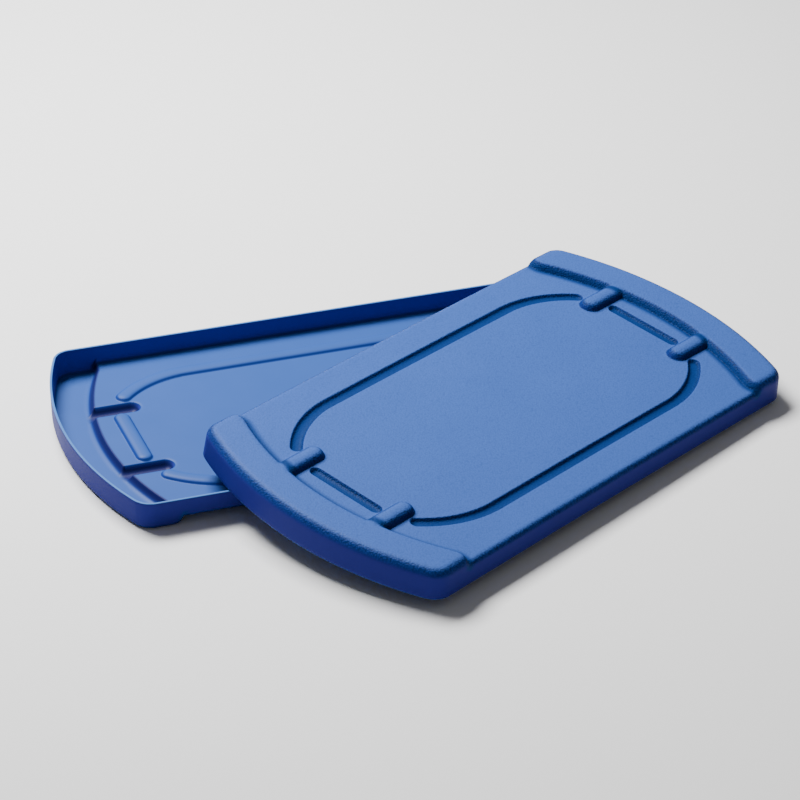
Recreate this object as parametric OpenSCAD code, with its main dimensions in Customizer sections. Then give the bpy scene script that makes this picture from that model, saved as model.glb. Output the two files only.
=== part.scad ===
// Sandbox with cover: two formed plastic shells of one design.
// The tray is a shell lying open side up on its two end bands. The cover is the same
// shell a size larger, face up, leaning with one long side across the tray.

/* [Shell] */
// Length of the tray over its bowed ends
shell_length = 1164; // [1140:2:1180]
// Width of the tray over its straight sides
shell_width = 600; // [590:2:610]
// How far each end bows out past its corners
end_bow = 71; // [65:1:76]
// Plan radius of the four corners
corner_r = 42; // [30:1:50]
// Height from the trimmed rim to the flat deck
deck_height = 45; // [42:1:46]
// Thickness of the formed sheet
sheet = 5; // [4:0.5:6]

/* [End bands] */
// Width of the raised band along each end
band_width = 87; // [75:1:100]
// Rise of the band above the deck
band_rise = 16; // [14:1:16]
// Plan radius where a band's inner edge meets a long side
band_corner_r = 36; // [24:1:40]

/* [Bars] */
// Distance of each bar from the long centre line
bar_offset = 112; // [105:1:120]
// Distance from the middle of the shell to a bar's rounded tip
bar_tip = 387; // [380:1:395]
// Width of a bar where it leaves the deck
bar_width = 42; // [36:1:46]
// Rise of a bar above the deck
bar_rise = 14; // [12:1:14]

/* [Grooves] */
// Distance of each long groove from the long centre line
groove_offset = 211; // [205:1:215]
// Distance from the middle of the shell to the start of a groove's curve
groove_straight = 258; // [240:1:265]
// Radius of the curve at each end of a long groove
groove_curve_r = 225; // [200:1:240]
// Turn of that curve in degrees
groove_turn = 43; // [30:1:44]
// Distance from the middle of the shell to a short cross groove
cross_groove = 438; // [432:1:442]
// Half the length of a short cross groove
cross_groove_half = 75; // [60:1:78]
// Width of every groove at the deck
groove_width = 22; // [18:1:26]
// Depth of every groove
groove_depth = 9; // [5:0.5:9]

/* [Cover] */
// Plan size of the cover against the tray, so that it drops over the tray's rim
cover_scale = 1.04; // [1.035:0.005:1.045]
// Place of the cover's centre along the tray, from the tray's centre
cover_x = 259.6; // [258:0.1:261]
// Place of the cover's centre across the tray, from the tray's centre
cover_y = -197; // [-198:0.1:-196.5]
// Lean of the cover about its length, in degrees
cover_lean = 4.8; // [4.8:0.01:4.9]
// Rise of the cover's low end, as a lean about its width, in degrees
cover_tilt = 0.64; // [0.62:0.01:0.66]
// Turn of the cover on the floor, in degrees
cover_turn = 27.3; // [27.2:0.1:27.5]
// Height of the cover's centre above the floor, at its rim
cover_lift = 41.5; // [41.5:0.5:80]

/* [Hidden] */
blue = [0.10, 0.28, 0.62];
half_length = shell_length / 2;
half_width = shell_width / 2;
shell_height = deck_height + band_rise;
// Bowed end: one arc about a point on the long centre line
end_r = (half_width * half_width + end_bow * end_bow) / (2 * end_bow);
end_x = half_length - end_r;
// Centre of the plan corner, tangent to the bowed end and to the long side
corner_y = half_width - corner_r;
corner_x = end_x + sqrt(pow(end_r - corner_r, 2) - corner_y * corner_y);
corner_a = atan2(corner_y, corner_x - end_x);
// Inner edge of a band: an arc about the same point, with a rounded corner at each side
band_r = end_r - band_width;
band_y = half_width - band_corner_r;
band_x = end_x + sqrt(pow(band_r + band_corner_r, 2) - band_y * band_y);
band_a = atan2(band_y, band_x - end_x);
// Round section that gives a bar its width and height
bar_r = (pow(bar_width / 2, 2) + bar_rise * bar_rise) / (2 * bar_rise);
arc_steps = 12;
corner_steps = 8;
round_steps = 48;
over = 1;
signs = [-1, 1];

// Points of an arc about c from angle a to angle b
function arc(c, r, a, b, steps) =
    [for (i = [0:steps]) c + r * [cos(a + (b - a) * i / steps), sin(a + (b - a) * i / steps)]];

function mirrored_x(points) = [for (i = [len(points) - 1:-1:0]) [-points[i].x, points[i].y]];
// The first point lies on the long centre line, so it isn't doubled
function mirrored_y(points) = [for (i = [len(points) - 1:-1:1]) [points[i].x, -points[i].y]];

// Half of one end of the outline, from the centre line to the long side, drawn in by d
function end_points(d) = concat(
    arc([end_x, 0], end_r - d, 0, corner_a, arc_steps),
    arc([corner_x, corner_y], corner_r - d, corner_a, 90, corner_steps));

// The whole plan outline of a shell of plan size k, drawn in by d
function outline(k, d) =
    let (half_end = end_points(d / k), far = concat(mirrored_y(half_end), half_end))
    k * concat(far, mirrored_x(far));

// Band at the far end, reaching past the outline, with its edge moved into the band by d
function band_points(k, d) =
    let (turn = arc([band_x, band_y], band_corner_r - d / k, band_a + 180, 90, corner_steps),
         edge = arc([end_x, 0], band_r + d / k, 0, band_a, arc_steps),
         reach = half_length + over,
         half_band = concat(edge, turn, [[reach, half_width - d / k]]))
    k * concat(mirrored_y(half_band), half_band);

module band_plan(k, d) {
    intersection() {
        polygon(outline(k, d));
        union() {
            for (s = signs)
                rotate(s > 0 ? 0 : 180)
                    polygon(band_points(k, d));
        }
    }
}

// The four bars, of round section r, ending in round tips
module bars(k, r) {
    run = k * (end_x + band_r + band_width / 2) - k * (bar_tip + bar_width / 2);
    for (sx = signs)
        for (sy = signs)
            translate([sx * k * (bar_tip + bar_width / 2), sy * k * bar_offset, deck_height + bar_rise - bar_r]) {
                sphere(r = r, $fn = round_steps);
                rotate([0, sx * 90, 0])
                    cylinder(h = run, r = r, $fn = round_steps);
            }
}

// One end curve of a long groove and half its straight part, as a line of even width
function groove_line(k, w) =
    let (r = k * groove_curve_r, x = k * groove_straight, c = [x, k * groove_offset - r],
         tip = c + r * [sin(groove_turn), cos(groove_turn)],
         outer = arc(c, r + w, 90, 90 - groove_turn, arc_steps),
         cap = arc(tip, w, 90 - groove_turn, -90 - groove_turn, corner_steps),
         inner = arc(c, r - w, 90 - groove_turn, 90, arc_steps),
         half_line = concat(outer, [for (i = [1:corner_steps - 1]) cap[i]], inner))
    concat(half_line, mirrored_x(half_line));

module grooves(k, w, z) {
    translate([0, 0, z])
        linear_extrude(height = deck_height)
            for (s = signs) {
                rotate(s > 0 ? 0 : 180)
                    polygon(groove_line(k, w));
                translate([s * k * cross_groove, 0]) {
                    square([2 * w, 2 * k * cross_groove_half], center = true);
                    for (e = signs)
                        translate([0, e * k * cross_groove_half])
                            circle(r = w, $fn = round_steps);
                }
            }
}

// Everything inside one face of the sheet, drawn in by d from the outer face
module skin(k, d) {
    difference() {
        union() {
            translate([0, 0, d > 0 ? -over : 0])
                linear_extrude(height = deck_height - d + (d > 0 ? over : 0))
                    polygon(outline(k, d));
            linear_extrude(height = shell_height - d)
                band_plan(k, d);
            intersection() {
                bars(k, bar_r - d);
                linear_extrude(height = shell_height)
                    polygon(outline(k, d));
            }
        }
        grooves(k, groove_width / 2 + d, deck_height - groove_depth - d);
    }
}

// One formed sheet, face up, with its trimmed rim at z = 0
module shell(k) {
    difference() {
        skin(k, 0);
        skin(k, sheet);
    }
}

// Turn of the cover, for working out where its corners stand
function turn_x(a) = [[1, 0, 0], [0, cos(a), -sin(a)], [0, sin(a), cos(a)]];
function turn_y(a) = [[cos(a), 0, sin(a)], [0, 1, 0], [-sin(a), 0, cos(a)]];
function turn_z(a) = [[cos(a), -sin(a), 0], [sin(a), cos(a), 0], [0, 0, 1]];
cover_axes = turn_z(cover_turn) * turn_y(cover_tilt) * turn_x(cover_lean);
cover_reach = [for (p = outline(cover_scale, 0)) for (z = [0, shell_height])
    cover_axes * [p.x, p.y, z] + [cover_x, cover_y, cover_lift]];
// The origin is the middle of the whole arrangement on the floor
low_x = min(-half_length, min([for (p = cover_reach) p.x]));
high_x = max(half_length, max([for (p = cover_reach) p.x]));
low_y = min(-half_width, min([for (p = cover_reach) p.y]));
high_y = max(half_width, max([for (p = cover_reach) p.y]));
middle = [(low_x + high_x) / 2, (low_y + high_y) / 2, 0];

module tray() {
    color(blue)
        translate([0, 0, shell_height] - middle)
            rotate([180, 0, 0])
                shell(1);
}

module cover() {
    color(blue)
        translate([cover_x, cover_y, cover_lift] - middle)
            rotate([cover_lean, cover_tilt, cover_turn])
                shell(cover_scale);
}

tray();
cover();
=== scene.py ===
import math

import bmesh
import bpy
from mathutils import Matrix, Vector, noise


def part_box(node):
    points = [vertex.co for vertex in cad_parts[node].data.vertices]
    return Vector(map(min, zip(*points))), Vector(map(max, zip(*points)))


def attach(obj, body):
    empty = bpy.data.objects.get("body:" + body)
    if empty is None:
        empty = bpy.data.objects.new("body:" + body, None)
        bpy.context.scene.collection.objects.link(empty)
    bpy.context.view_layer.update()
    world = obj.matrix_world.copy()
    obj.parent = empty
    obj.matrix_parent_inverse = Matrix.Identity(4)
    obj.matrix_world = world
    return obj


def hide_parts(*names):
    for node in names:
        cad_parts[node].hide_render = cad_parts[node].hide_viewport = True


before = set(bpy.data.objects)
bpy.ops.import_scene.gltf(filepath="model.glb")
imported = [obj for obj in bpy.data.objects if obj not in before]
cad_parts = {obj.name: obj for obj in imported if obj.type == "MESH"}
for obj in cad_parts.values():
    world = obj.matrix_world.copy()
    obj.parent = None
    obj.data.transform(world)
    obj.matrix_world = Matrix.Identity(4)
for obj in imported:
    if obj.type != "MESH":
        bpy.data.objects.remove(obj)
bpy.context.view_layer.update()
print("the packed frame is loaded")

# The sandbox and its cover are one design of formed sheet. Lengths are in millimetres, in the
# frame of one shell lying face up: x along it, y across it, z up from the trimmed rim.
mm = 0.001

shellShape = {
    "halfLength": 582.0,      # centre to the middle of a bowed end
    "halfWidth": 300.0,       # centre to a long side
    "endBow": 71.0,           # how far an end bows out past its corners
    "cornerRadius": 42.0,     # plan radius of the corners
    "deckHeight": 45.0,       # rim to deck
    "sheet": 5.0,             # thickness of the sheet
    "draft": 2.6,             # how far the walls lean out on their way down
    "deckFillet": 13.0,       # deck to wall, outside
    "bandFillet": 19.0,       # end band to wall, outside
    "bandRise": 16.0,         # end band above the deck
    "bandWidth": 92.0,        # width of an end band at the deck
    "bandCorner": 44.0,       # plan radius where a band meets a long side
    "bandRun": 20.0,          # run of the rounded step from deck to band
    "bandSteep": 3.2,         # how upright that step starts
    "bandBlend": 2.0,         # softness at the foot of that step
    "barOffset": 112.0,       # bar to the long centre line
    "barTip": 386.0,          # centre to a bar's rounded tip
    "barWidth": 42.0,         # width of a bar at the deck
    "barRise": 15.9,          # rise of a bar above the deck
    "barRound": 2.4,          # 2 is a round bar, and more is a squarer one
    "barBlend": 8.0,          # softness where a bar leaves the deck
    "barSink": 26.0,          # how far a bar sinks under the end band
    "barSinkStart": 16.0,     # from the foot of the band to where the sinking starts
    "barSinkRun": 50.0,
    "grooveOffset": 211.0,    # long groove to the long centre line
    "grooveStraight": 258.0,  # centre to the start of the groove's curve
    "grooveCurve": 225.0,     # radius of that curve
    "grooveTurn": 43.0,       # turn of that curve in degrees
    "crossGroove": 438.5,     # centre to a short cross groove
    "crossHalf": 74.0,        # half length of a short cross groove
    "grooveWidth": 23.0,      # groove at the deck
    "grooveDepth": 6.6,       # depth of a groove
    "grooveRound": 2.6,       # 2 is a round groove, and more is a squarer one
    "grooveBlend": 2.4,       # softness of a groove's lips
    "rimRound": 0.9,          # rounding of the trimmed rim
    "waviness": 0.35,         # unevenness of the cooled sheet
    "waveLength": 130.0,      # size of those waves
    "waveFade": 30.0,         # height over which they fade towards the rim
}

# What part of the sheet's thickness a bar loses, a groove gains and a fillet loses on the inner
# skin, on each side
innerShare = {
    "bar": 0.8,
    "groove": 0.9,
    "fillet": 0.6,
}

# How far the painted shade of the hollows reaches, and over what distance it fades
hollowShadeReach = {
    "outerFoot": 16.0,  # before the foot of a band, outside and inside
    "innerFoot": 5.0,
    "intoBand": 3.0,
    "bandFade": 9.0,
    "groove": 8.0,      # from the middle line of a groove
    "grooveFade": 5.0,
    "slot": 3.0,        # in from the edge of a bar, seen from inside
    "slotFade": 4.0,
    "slotEnd": 2.0,     # into the band
    "slotEndFade": 16.0,
}

# How fast a bar or groove falls away outside its own width, so that blends end cleanly
fallAway = 20.0


# From 0 to 1 with no kink at either end
def smooth(t):
    t = min(1.0, max(0.0, t))
    return t * t * t * (t * (6.0 * t - 15.0) + 10.0)


# The greater of two heights, rounded over k where they meet
def softMax(a, b, k):
    h = max(k - abs(a - b), 0.0) / k
    return max(a, b) + h * h * k * 0.25


# The plan of one skin of the sheet, drawn in by inset from the trimmed rim's outline
class Plan:
    def __init__(self, shape, inset):
        self.shape = shape
        self.inset = inset
        halfWidth = shape["halfWidth"]
        bow = shape["endBow"]
        self.endRadius = (halfWidth * halfWidth + bow * bow) / (2.0 * bow)
        self.endX = shape["halfLength"] - self.endRadius
        self.corner = shape["cornerRadius"]
        self.cornerY = halfWidth - self.corner
        reach = self.endRadius - self.corner
        self.cornerX = self.endX + math.sqrt(reach * reach - self.cornerY * self.cornerY)
        self.cornerAngle = math.atan2(self.cornerY, self.cornerX - self.endX)

    # Plan point of the grid position u, v, both zero or more
    def place(self, u, v):
        startX = self.shape["halfLength"] - self.corner
        a = u - startX
        b = v - self.cornerY
        if a > 0.0 and b > 0.0:
            t = 0.5 * b / a if b <= a else 1.0 - 0.5 * a / b
            turn = self.cornerAngle + (math.pi / 2.0 - self.cornerAngle) * t
            reach = max(a, b)
            return (self.cornerX + reach * math.cos(turn), self.cornerY + reach * math.sin(turn))
        radius = u - self.endX
        if a > 0.0:
            y = v * radius / (startX - self.endX)
            return (self.endX + math.sqrt(radius * radius - y * y), y)
        bend = smooth((u - bendStart) / bendRun)
        if bend == 0.0:
            return (u, v)
        held = min(v, self.cornerY)
        sag = radius - math.sqrt(radius * radius - held * held)
        return (u - sag * bend, v)

    # Direction in plan that leaves the shell at a point near its edge
    def outward(self, x, y):
        ax = abs(x)
        ay = abs(y)
        if ay > self.cornerY and ax <= self.cornerX:
            n = Vector((0.0, 1.0))
        elif math.atan2(ay - self.cornerY, ax - self.cornerX) > self.cornerAngle and ay > self.cornerY:
            n = Vector((ax - self.cornerX, ay - self.cornerY)).normalized()
        elif self.endRadius - math.hypot(ax - self.endX, ay) < self.shape["halfWidth"] - ay:
            n = Vector((ax - self.endX, ay)).normalized()
        else:
            n = Vector((0.0, 1.0))
        return Vector((math.copysign(n.x, x), math.copysign(n.y, y)))

    # Distance in from this skin's edge
    def depth(self, x, y):
        ax = abs(x)
        ay = abs(y)
        if ay > self.cornerY and ax > self.cornerX:
            turn = math.atan2(ay - self.cornerY, ax - self.cornerX)
            if turn > self.cornerAngle:
                return self.corner - self.inset - math.hypot(ax - self.cornerX, ay - self.cornerY)
        side = self.shape["halfWidth"] - ay
        end = self.endRadius - math.hypot(ax - self.endX, ay)
        return min(side, end) - self.inset


# Distance into an end band from its foot. d moves the edge of every feature by the depth of a
# skin: 0 for the outer skin, the sheet's thickness for the inner one.
def bandReach(plan, x, y, d):
    s = plan.shape
    inner = plan.endRadius - s["bandWidth"] + d
    corner = s["bandCorner"] - d
    midY = s["halfWidth"] + s["bandRun"] - corner
    reach = inner + corner
    midX = plan.endX + math.sqrt(reach * reach - midY * midY)
    tilt = math.atan2(midY, midX - plan.endX)
    dx = abs(x) - midX
    dy = abs(y) - midY
    turn = math.atan2(dy, dx) % (2.0 * math.pi)
    if math.pi / 2.0 <= turn <= math.pi + tilt:
        return corner - math.hypot(dx, dy)
    return math.hypot(abs(x) - plan.endX, y) - inner


def bandRise(plan, x, y, d):
    s = plan.shape
    t = min(1.0, max(0.0, bandReach(plan, x, y, d) / s["bandRun"]))
    return s["bandRise"] * (1.0 - (1.0 - t) ** s["bandSteep"])


# Distance from the middle line of the nearest bar, which ends in a round tip
def barDistance(plan, x, y):
    s = plan.shape
    pastTip = max(0.0, s["barTip"] + s["barWidth"] / 2.0 - abs(x))
    return math.hypot(pastTip, abs(y) - s["barOffset"])


# Height of a bar above the deck. It sinks away under the end band.
def barRise(plan, x, y, d):
    s = plan.shape
    off = barDistance(plan, x, y) / (s["barWidth"] / 2.0 - innerShare["bar"] * d)
    if off >= 1.0:
        return -fallAway * (off - 1.0)
    into = math.hypot(abs(x) - plan.endX, y) - plan.endRadius + s["bandWidth"]
    sink = s["barSink"] * smooth((into - s["barSinkStart"]) / s["barSinkRun"])
    return s["barRise"] * math.sqrt(1.0 - off ** s["barRound"]) - sink


# Distance from the middle line of the nearest groove
def grooveDistance(plan, x, y):
    s = plan.shape
    ax = abs(x)
    ay = abs(y)
    curve = s["grooveCurve"]
    turn = math.radians(s["grooveTurn"])
    px = ax - s["grooveStraight"]
    py = ay - (s["grooveOffset"] - curve)
    if px <= 0.0:
        along = abs(ay - s["grooveOffset"])
    elif math.atan2(px, py) < turn:
        along = abs(math.hypot(px, py) - curve)
    else:
        along = math.hypot(px - curve * math.sin(turn), py - curve * math.cos(turn))
    across = math.hypot(ax - s["crossGroove"], max(0.0, ay - s["crossHalf"]))
    return min(along, across)


# Depth of a groove below the deck: steep sides and a round bottom
def grooveDrop(plan, x, y, d):
    s = plan.shape
    off = grooveDistance(plan, x, y) / (s["grooveWidth"] / 2.0 + innerShare["groove"] * d)
    if off >= 1.0:
        return -fallAway * (off - 1.0)
    return s["grooveDepth"] * math.sqrt(1.0 - off ** s["grooveRound"])


# Radius from the top to the wall: part is 0 beside the deck and 1 beside an end band
def filletRadius(s, part, d):
    return s["deckFillet"] + (s["bandFillet"] - s["deckFillet"]) * part - innerShare["fillet"] * d


def skinHeight(plan, x, y, d):
    s = plan.shape
    band = bandRise(plan, x, y, d)
    bar = barRise(plan, x, y, d)
    level = max(0.0, min(band, bar)) / s["bandRise"]
    rise = softMax(band, bar, 1.0 + s["barBlend"] * (1.0 - level))
    rise = softMax(rise, 0.0, s["bandBlend"])
    drop = softMax(0.0, grooveDrop(plan, x, y, d), s["grooveBlend"])
    z = s["deckHeight"] - d + min(max(rise, 0.0), s["bandRise"]) - drop
    fillet = filletRadius(s, band / s["bandRise"], d)
    inside = plan.depth(x, y)
    if inside < fillet:
        lean = fillet - max(inside, 0.0)
        z -= fillet - math.sqrt(max(0.0, fillet * fillet - lean * lean))
    return z


# How much painted shade a place gets for lying in a hollow: the foot of a band, with the grooves on
# the outer skin or with the bars on the inner one
def hollowShadeAmount(plan, x, y, d):
    h = hollowShadeReach
    into = bandReach(plan, x, y, d)
    before = h["outerFoot"] if d == 0.0 else h["innerFoot"]
    foot = smooth((into + before) / before) * (1.0 - smooth((into - h["intoBand"]) / h["bandFade"]))
    if d == 0.0:
        return max(foot, 1.0 - smooth((grooveDistance(plan, x, y) - h["groove"]) / h["grooveFade"]))
    off = barDistance(plan, x, y) - plan.shape["barWidth"] / 2.0 + d
    slot = 1.0 - smooth((off + h["slot"]) / h["slotFade"])
    return max(foot, slot * (1.0 - smooth((into - h["slotEnd"]) / h["slotEndFade"])))


# The grid of a skin: where each stretch of lines starts, and the step between its lines
gridStops = {
    "u": [(0.0, 12.0), (240.0, 8.0), (376.0, 5.0), (556.0, 5.0)],
    "v": [(0.0, 8.0), (240.0, 5.0), (274.0, 5.0)],
}
filletSteps = 9           # lines along the edge fillet
bendStart = 285.0         # where the grid's cross lines start to follow the bowed end
bendRun = 200.0
splitReach = (16.0, 8.5)  # how near a feature the grid is split, once and then again
edgeRow = 2.5             # the row at the edge, which stays whole


def spread(start, end, step):
    n = max(1, round((end - start) / step))
    return [start + (end - start) * i / n for i in range(n)]


def gridLines(stops, edge, fillet):
    lines = []
    for (start, step), (end, _) in zip(stops, stops[1:]):
        lines += spread(start, end, step)
    for i in range(filletSteps + 1):
        lines.append(edge - fillet * (1.0 - math.sin(math.pi / 2.0 * i / filletSteps)))
    return lines


# Distance to the steepest line of the nearest groove, bar or band. A bar counts until it is
# well under the band, and a band's step counts from a little before its foot to its top.
def featureDistance(plan, x, y):
    s = plan.shape
    far = 99.0
    groove = abs(grooveDistance(plan, x, y) - 0.42 * s["grooveWidth"])
    bar = abs(barDistance(plan, x, y) - 0.36 * s["barWidth"])
    into = math.hypot(abs(x) - plan.endX, y) - plan.endRadius + s["bandWidth"]
    if into > 30.0:
        bar = far
    part = bandRise(plan, x, y, 0.0) / s["bandRise"]
    band = far if part > 0.985 or into < -4.0 else 20.0 * max(0.0, part - 0.7)
    return min(groove, bar, band)


def splitNear(bm, plan, faces, reach):
    edges = set()
    for f in faces:
        c = f.calc_center_median()
        if plan.depth(c.x, c.y) > edgeRow and featureDistance(plan, c.x, c.y) < reach:
            edges.update(e for e in f.edges if not e.is_boundary)
    bmesh.ops.subdivide_edges(bm, edges=list(edges), cuts=1, use_grid_fill=True)


# One skin of the sheet as a grid, its edge left open at the top of the wall
def buildSkin(bm, shape, d, splits):
    plan = Plan(shape, shape["draft"] + d)
    fillet = filletRadius(shape, 1.0, d)
    us = gridLines(gridStops["u"], shape["halfLength"] - plan.inset, fillet)
    vs = gridLines(gridStops["v"], shape["halfWidth"] - plan.inset, fillet)
    nu = len(us) - 1
    nv = len(vs) - 1
    before = set(bm.faces)
    made = bmesh.ops.create_grid(bm, x_segments=2 * nu, y_segments=2 * nv, size=1.0)
    for vert in made["verts"]:
        i = round(vert.co.x * nu)
        j = round(vert.co.y * nv)
        x, y = plan.place(us[abs(i)], vs[abs(j)])
        vert.co = Vector((math.copysign(x, i), math.copysign(y, j), 0.0))
    for reach in splitReach[:splits]:
        splitNear(bm, plan, [f for f in bm.faces if f not in before], reach)
    verts = {v for f in bm.faces if f not in before for v in f.verts}
    for vert in verts:
        vert.co.z = skinHeight(plan, vert.co.x, vert.co.y, d)
    return plan, verts


def openEdges(verts):
    edges = set()
    for v in verts:
        edges.update(e for e in v.link_edges if e.is_boundary)
    return list(edges)


# Draws a new open row of edges out of the last one
def nextRow(bm, edges):
    grown = bmesh.ops.extrude_edge_only(bm, edges=edges)["geom"]
    verts = [g for g in grown if isinstance(g, bmesh.types.BMVert)]
    rim = [g for g in grown if isinstance(g, bmesh.types.BMEdge) and g.is_boundary]
    return verts, rim


# The wall of one skin, down to where the rim's rounding starts
def drawWall(bm, plan, edges, hollowShadeMask):
    wallRows = 6
    lean = plan.shape["draft"] / wallRows
    for row in range(wallRows):
        verts, edges = nextRow(bm, edges)
        for v in verts:
            v[hollowShadeMask] = 0.0
            n = plan.outward(v.co.x, v.co.y)
            v.co.x += n.x * lean
            v.co.y += n.y * lean
            v.co.z += (plan.shape["rimRound"] - v.co.z) / (wallRows - row)
    return edges


# The rounding of the rim. side is 1 for the outer skin, which turns in, and -1 for the inner one.
def drawRim(bm, plan, edges, side):
    firstBite = 0.28
    for reach, z in ((firstBite, firstBite), (plan.shape["rimRound"] - firstBite, 0.0)):
        verts, edges = nextRow(bm, edges)
        for v in verts:
            n = plan.outward(v.co.x, v.co.y)
            v.co.x -= side * n.x * reach
            v.co.y -= side * n.y * reach
            v.co.z = z
    return edges


# One formed sheet in its own frame. grow scales its plan, crown lifts its middle, and splits
# says how finely the outer and the inner skin are divided. Faces of the outer skin get material
# 0, those of the inner skin 1 and those of the cut rim 2.
def buildShell(shape, grow, crown, splits):
    bm = bmesh.new()
    # The first layer holds steepness, which picks the painted shade of slopes and walls and sets how
    # strong the grain is; the second is the mask of painted shade in the hollows
    steep = bm.verts.layers.float.new("steep")
    hollowShadeMask = bm.verts.layers.float.new("hollowShadeMask")
    rims = []
    outerFaces = set()
    for d, fine in zip((0.0, shape["sheet"]), splits):
        plan, verts = buildSkin(bm, shape, d, fine)
        for v in verts:
            v[hollowShadeMask] = hollowShadeAmount(plan, v.co.x, v.co.y, d)
        edges = openEdges(verts)
        if d > 0.0:
            bmesh.ops.reverse_faces(bm, faces=list({f for v in verts for f in v.link_faces}))
        edges = drawWall(bm, plan, edges, hollowShadeMask)
        rims += drawRim(bm, plan, edges, 1.0 if d == 0.0 else -1.0)
        if d == 0.0:
            outerFaces = set(bm.faces)
    for f in bm.faces:
        f.material_index = 0 if f in outerFaces else 1
    bmesh.ops.bridge_loops(bm, edges=rims)
    rimTop = 1.0
    for f in bm.faces:
        if max(v.co.z for v in f.verts) < rimTop:
            f.material_index = 2
    bm.normal_update()
    for v in bm.verts:
        v[steep] = 1.0 - abs(v.normal.z)
        v.co.x *= grow
        v.co.y *= grow
        v.co.z += crown * (1.0 - (v.co.x / (grow * shape["halfLength"])) ** 2)
    return bm


# The sheet's slight waves, then its place in the row's frame, its plastics and its body
def finishShell(bm, name, place, body, plastics):
    for v in bm.verts:
        wave = noise.noise(Vector((v.co.x, v.co.y, 0.3 * v.co.z)) / shellShape["waveLength"])
        fade = smooth(v.co.z / shellShape["waveFade"])
        v.co.z -= shellShape["waviness"] * (0.5 + 0.5 * wave) * fade
    bmesh.ops.transform(bm, matrix=place, verts=bm.verts)
    mesh = bpy.data.meshes.new(name)
    bm.to_mesh(mesh)
    bm.free()
    for plastic in plastics:
        mesh.materials.append(plastic)
    mesh.shade_smooth()
    piece = bpy.data.objects.new(name, mesh)
    bpy.context.scene.collection.objects.link(piece)
    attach(piece, body)
    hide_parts(body)
    print(name, "is made of", len(mesh.polygons), "faces")


# The plastic. Every value is one that a user may change; colours are linear red, green, blue.
outerLook = {
    "Top": (0.041, 0.099, 0.345),      # flat faces
    # The slope and wall colours are painted shade: deeper tones that stand in for the light slopes and
    # walls lack, not the plastic's own colour
    "Slope": (0.003, 0.028, 0.17),     # fillets and the sides of bars
    "WallShade": (0.012, 0.015, 0.160),     # upright walls
    # The hollow colour is painted shade, the darkest blue, put where grooves and the feet of bands lie
    # in shade
    "HollowShade": (0.0015, 0.027, 0.135),  # inside the grooves and along the foot of a band
    "Slope Start": 0.01,               # steepness, from 0 flat to 1 upright, of each colour
    "Slope Full": 0.26,
    "Wall Full": 0.93,
    "Grain Size": 300.0,               # pebbles to the metre
    "Flat Grain": 0.32,                # the grain on flat faces against that on slopes
    "Wall Grain": 0.06,                # the same for upright walls
    "Speck": 1.0,                      # how much the grain darkens its valleys
    "Blotch": 0.10,                    # slow unevenness of the colour
    "Roughness": 0.50,
    "Scuff": 0.12,                     # how much rougher the fine scuffs are
}
innerLook = dict(outerLook)
innerLook["Top"] = (0.030, 0.086, 0.31)
innerLook["Slope"] = (0.008, 0.036, 0.21)
# The inner walls get a violet painted shade tone, lighter than the outer walls', that stands in for
# bounced light in their shade
innerLook["WallShade"] = (0.058, 0.052, 0.40)
# Painted shade in the slots under the bars and along the foot of the bands, seen from inside
innerLook["HollowShade"] = (0.010, 0.013, 0.095)
innerLook["Grain Size"] = 120.0
innerLook["Speck"] = 0.0
innerLook["Roughness"] = 0.44
rimColour = (0.06, 0.17, 0.45)
rimLook = dict(innerLook, Top=rimColour, Slope=rimColour, WallShade=rimColour, HollowShade=rimColour)
gloss = {"outer": 0.06, "inner": 0.10}
grainStrength = {"outer": 1.0, "inner": 0.06}
grainDepth = 0.0012


def link(tree, fromNode, fromSocket, toNode, toSocket):
    tree.links.new(fromNode.outputs[fromSocket], toNode.inputs[toSocket])


# Sets an input to a number or a colour, or links it to another node's output
def feed(tree, socket, value):
    if isinstance(value, (int, float, tuple)):
        socket.default_value = value
    else:
        tree.links.new(value, socket)


def mathNode(tree, operation, *values):
    node = tree.nodes.new("ShaderNodeMath")
    node.operation = operation
    for socket, value in zip(node.inputs, values):
        feed(tree, socket, value)
    return node.outputs[0]


def noiseNode(tree, scale, detail, vector):
    node = tree.nodes.new("ShaderNodeTexNoise")
    node.inputs["Scale"].default_value = scale
    node.inputs["Detail"].default_value = detail
    tree.links.new(vector, node.inputs["Vector"])
    return node


# Maps a value from one range to another and holds it at the ends
def rangeNode(tree, value, fromMin, fromMax, toMin, toMax, kind="LINEAR"):
    node = tree.nodes.new("ShaderNodeMapRange")
    node.interpolation_type = kind
    given = (value, fromMin, fromMax, toMin, toMax)
    for name, item in zip(("Value", "From Min", "From Max", "To Min", "To Max"), given):
        feed(tree, node.inputs[name], item)
    return node.outputs["Result"]


def mixNode(tree, factor, a, b):
    node = tree.nodes.new("ShaderNodeMix")
    node.data_type = "RGBA"
    for name, item in zip(("Factor", "A", "B"), (factor, a, b)):
        feed(tree, node.inputs[name], item)
    return node.outputs["Result"]


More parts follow.
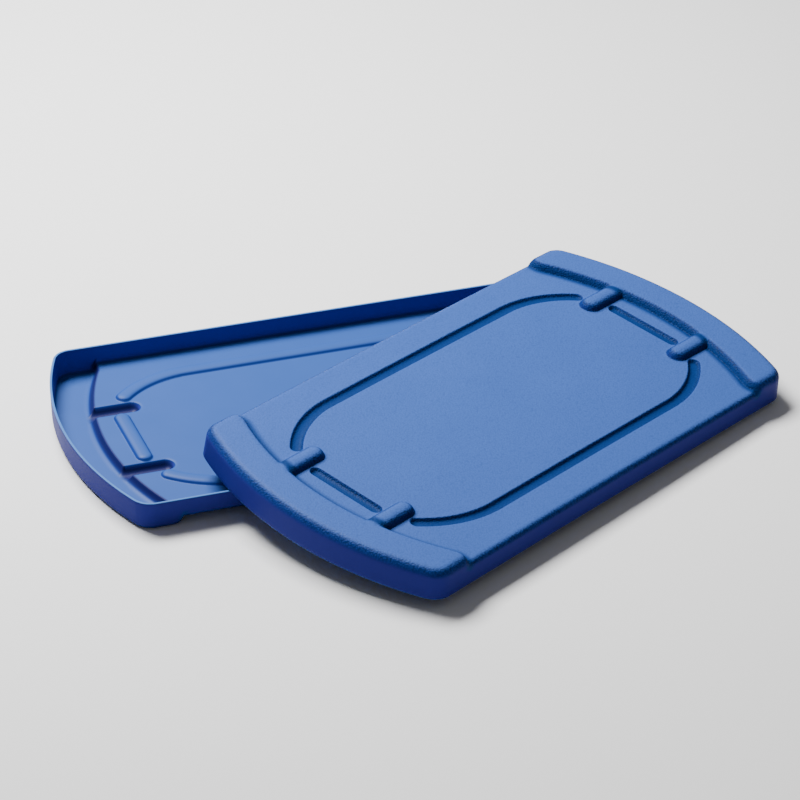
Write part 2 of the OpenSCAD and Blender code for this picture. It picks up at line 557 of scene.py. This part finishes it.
# The moulded pebble grain, which stands out most on slopes
def addGrain(tree, where, steep, values):
    bend = noiseNode(tree, 260.0, 2.0, where)
    mix = tree.nodes.new("ShaderNodeVectorMath")
    mix.operation = "MULTIPLY_ADD"
    mix.inputs[1].default_value = (0.0024, 0.0024, 0.0024)
    link(tree, bend, "Color", mix, 0)
    tree.links.new(where, mix.inputs[2])
    pebble = tree.nodes.new("ShaderNodeTexVoronoi")
    pebble.feature = "SMOOTH_F1"
    pebble.inputs["Smoothness"].default_value = 0.7
    link(tree, mix, 0, pebble, "Vector")
    tree.links.new(values["Grain Size"], pebble.inputs["Scale"])
    fine = noiseNode(tree, 900.0, 3.0, where)
    bumps = mathNode(tree, "MULTIPLY", fine.outputs["Fac"], 0.35)
    height = mathNode(tree, "SUBTRACT", bumps, pebble.outputs["Distance"])
    slopeStarts, slopeEnds, wallStarts, slopeGrain = 0.12, 0.45, 0.8, 0.8
    stand = rangeNode(tree, steep, 0.0, slopeStarts, values["Flat Grain"], 1.0)
    fall = rangeNode(tree, steep, slopeStarts, slopeEnds, 1.0, slopeGrain)
    last = mathNode(tree, "DIVIDE", values["Wall Grain"], slopeGrain)
    wall = rangeNode(tree, steep, slopeEnds, wallStarts, 1.0, last)
    stand = mathNode(tree, "MULTIPLY", mathNode(tree, "MULTIPLY", stand, fall), wall)
    return mathNode(tree, "MULTIPLY", height, stand)


# Painted light and shade: the light top colour on flat faces, painted shade tones on slopes and walls
# by their steepness, and the darkest painted shade in the hollows
def addShade(tree, steep, hollowShadeMask, values):
    slope = rangeNode(tree, steep, values["Slope Start"], values["Slope Full"], 0.0, 1.0, "SMOOTHSTEP")
    wall = rangeNode(tree, steep, values["Slope Full"], values["Wall Full"], 0.0, 1.0, "SMOOTHSTEP")
    shade = mixNode(tree, slope, values["Top"], values["Slope"])
    shade = mixNode(tree, wall, shade, values["WallShade"])
    return mixNode(tree, hollowShadeMask, shade, values["HollowShade"])


# Thin scuffs that run one way
def addScuffs(tree, where):
    stretch = tree.nodes.new("ShaderNodeMapping")
    stretch.inputs["Rotation"].default_value = (0.2, 0.1, 0.6)
    stretch.inputs["Scale"].default_value = (6.0, 190.0, 60.0)
    tree.links.new(where, stretch.inputs["Vector"])
    scratch = noiseNode(tree, 1.0, 4.0, stretch.outputs["Vector"])
    return rangeNode(tree, scratch.outputs["Fac"], 0.66, 0.8, 0.0, 1.0)


def makePlasticGroup():
    tree = bpy.data.node_groups.new("formedPlastic", "ShaderNodeTree")
    for name, value in outerLook.items():
        kind = "NodeSocketColor" if isinstance(value, tuple) else "NodeSocketFloat"
        tree.interface.new_socket(name, in_out="INPUT", socket_type=kind)
    tree.interface.new_socket("Color", in_out="OUTPUT", socket_type="NodeSocketColor")
    for name in ("Roughness", "Height"):
        tree.interface.new_socket(name, in_out="OUTPUT", socket_type="NodeSocketFloat")
    values = tree.nodes.new("NodeGroupInput").outputs
    end = tree.nodes.new("NodeGroupOutput")
    where = tree.nodes.new("ShaderNodeTexCoord").outputs["Object"]
    masks = []
    # Steepness and the mask of painted shade in the hollows, read from the mesh
    for name in ("steep", "hollowShadeMask"):
        mask = tree.nodes.new("ShaderNodeAttribute")
        mask.attribute_name = name
        masks.append(mask.outputs["Fac"])
    steep, hollowShadeMask = masks
    height = addGrain(tree, where, steep, values)
    blotch = noiseNode(tree, 9.0, 5.0, where).outputs["Fac"]
    # The colour's brightness: 1 on average, uneven by blotch and speck
    even = mathNode(tree, "MULTIPLY_ADD", values["Blotch"], -0.5, 1.0)
    even = mathNode(tree, "MULTIPLY_ADD", values["Speck"], 0.12, even)
    uneven = mathNode(tree, "MULTIPLY_ADD", blotch, values["Blotch"], even)
    uneven = mathNode(tree, "MULTIPLY_ADD", height, values["Speck"], uneven)
    tone = tree.nodes.new("ShaderNodeHueSaturation")
    tree.links.new(addShade(tree, steep, hollowShadeMask, values), tone.inputs["Color"])
    tree.links.new(uneven, tone.inputs["Value"])
    link(tree, tone, "Color", end, "Color")
    # Roughness: uneven by the same blotches, and higher in the scuffs
    rough = mathNode(tree, "SUBTRACT", values["Roughness"], 0.08)
    rough = mathNode(tree, "MULTIPLY_ADD", blotch, 0.16, rough)
    rough = mathNode(tree, "MULTIPLY_ADD", addScuffs(tree, where), values["Scuff"], rough)
    tree.links.new(rough, end.inputs["Roughness"])
    tree.links.new(height, end.inputs["Height"])
    return tree


plasticGroup = makePlasticGroup()


def makePlastic(name, look, side):
    material = bpy.data.materials.new(name)
    material.use_nodes = True
    tree = material.node_tree
    shader = tree.nodes["Principled BSDF"]
    shader.inputs["IOR"].default_value = 1.5
    shader.inputs["Specular IOR Level"].default_value = gloss[side]
    plastic = tree.nodes.new("ShaderNodeGroup")
    plastic.node_tree = plasticGroup
    for key, value in look.items():
        plastic.inputs[key].default_value = (*value, 1.0) if isinstance(value, tuple) else value
    bump = tree.nodes.new("ShaderNodeBump")
    bump.inputs["Strength"].default_value = grainStrength[side]
    bump.inputs["Distance"].default_value = grainDepth
    link(tree, plastic, "Color", shader, "Base Color")
    link(tree, plastic, "Roughness", shader, "Roughness")
    link(tree, plastic, "Height", bump, "Height")
    link(tree, bump, "Normal", shader, "Normal")
    return material


# The outer skin's plastic, the inner skin's, and the cut rim's
def plasticSet(piece):
    outer = makePlastic(piece + "Outer", outerLook, "outer")
    inner = makePlastic(piece + "Inner", innerLook, "inner")
    return [outer, inner, makePlastic(piece + "Rim", rimLook, "inner")]


trayLow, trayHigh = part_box("tray")
trayMiddle = Vector(((trayLow[0] + trayHigh[0]) / 2.0, (trayLow[1] + trayHigh[1]) / 2.0, 0.0))
floorFrame = Matrix.Translation(trayMiddle) @ Matrix.Scale(mm, 4)

# The tray: a shell lying on its end bands, open side up
trayShape = dict(shellShape, deckFillet=12.0, bandFillet=11.0)
height = shellShape["deckHeight"] + shellShape["bandRise"]
trayPlace = floorFrame @ Matrix.Translation((0.0, 0.0, height)) @ Matrix.Rotation(math.pi, 4, "X")
tray = buildShell(trayShape, 1.0, 0.0, (1, 2))
finishShell(tray, "trayShell", trayPlace, "tray", plasticSet("tray"))

# The cover: a shell a size larger, face up, leaning across the tray
coverPose = {
    "grow": 1.04,                 # plan size against the tray
    "at": (259.6, -197.0, 41.5),  # its centre at the rim, from the tray's centre on the floor
    "lean": (4.8, 0.64, 27.3),    # degrees about x, then y, then z
    "crown": 4.0,                 # rise of its middle
}
coverTurn = Matrix.Identity(4)
for angle, axis in zip(coverPose["lean"], "XYZ"):
    coverTurn = Matrix.Rotation(math.radians(angle), 4, axis) @ coverTurn
coverPlace = floorFrame @ Matrix.Translation(coverPose["at"]) @ coverTurn
cover = buildShell(shellShape, coverPose["grow"], coverPose["crown"], (2, 1))
finishShell(cover, "coverShell", coverPlace, "cover", plasticSet("cover"))

# Floor
floorLook = {
    "halfSize": 30.0,  # metres
    "colour": (0.9, 0.9, 0.9),
    "roughness": 0.9,
}
floorMesh = bpy.data.meshes.new("floor")
bm = bmesh.new()
bmesh.ops.create_grid(bm, x_segments=1, y_segments=1, size=floorLook["halfSize"])
bm.to_mesh(floorMesh)
bm.free()
floor = bpy.data.objects.new("floor", floorMesh)
bpy.context.scene.collection.objects.link(floor)
paleFloor = bpy.data.materials.new("paleFloor")
paleFloor.use_nodes = True
floorShader = paleFloor.node_tree.nodes["Principled BSDF"]
floorShader.inputs["Base Color"].default_value = (*floorLook["colour"], 1.0)
floorShader.inputs["Roughness"].default_value = floorLook["roughness"]
floorMesh.materials.append(paleFloor)
print("the floor is laid")

# Camera
view = {
    "turn": 22.31,        # degrees from +y towards +x
    "down": 31.43,        # degrees below level
    "roll": -2.63,        # degrees
    "aim": (130.1, 7.3),  # from the tray's centre, on the floor
    "distance": 7084.5,
    "lens": 156.74,
}
turn = math.radians(view["turn"])
down = math.radians(view["down"])
forward = Vector((math.sin(turn) * math.cos(down), math.cos(turn) * math.cos(down), -math.sin(down)))
right = Vector((math.cos(turn), -math.sin(turn), 0.0))
below = forward.cross(right)
roll = math.radians(view["roll"])
rolledRight = right * math.cos(roll) + below * math.sin(roll)
rolledBelow = below * math.cos(roll) - right * math.sin(roll)
aim = trayMiddle + Vector((*view["aim"], 0.0)) * mm
cameraData = bpy.data.cameras.new("camera")
cameraData.lens = view["lens"]
cameraData.sensor_width = 36.0
cameraData.clip_end = 100.0
camera = bpy.data.objects.new("camera", cameraData)
axes = Matrix((rolledRight, -rolledBelow, -forward)).transposed().to_4x4()
camera.matrix_world = Matrix.Translation(aim - forward * view["distance"] * mm) @ axes
bpy.context.scene.collection.objects.link(camera)
bpy.context.scene.camera = camera

# Light: a dim even room and one large soft box above and behind, in metres and watts
light = {
    "room": 0.15,
    "at": (-1.1, 2.2, 3.4),
    "towards": (0.0, 0.1, 0.0),
    "size": (2.6, 1.6),
    "watts": 500.0,
}
world = bpy.data.worlds.new("studio")
bpy.context.scene.world = world
world.use_nodes = True
background = world.node_tree.nodes["Background"]
background.inputs["Color"].default_value = (1.0, 1.0, 1.0, 1.0)
background.inputs["Strength"].default_value = light["room"]
lampData = bpy.data.lights.new("softBox", "AREA")
lampData.shape = "RECTANGLE"
lampData.size, lampData.size_y = light["size"]
lampData.energy = light["watts"]
lamp = bpy.data.objects.new("softBox", lampData)
lamp.location = light["at"]
beam = Vector(light["towards"]) - Vector(light["at"])
lamp.rotation_euler = beam.to_track_quat("-Z", "Y").to_euler()
bpy.context.scene.collection.objects.link(lamp)
print("the camera and the light are set")
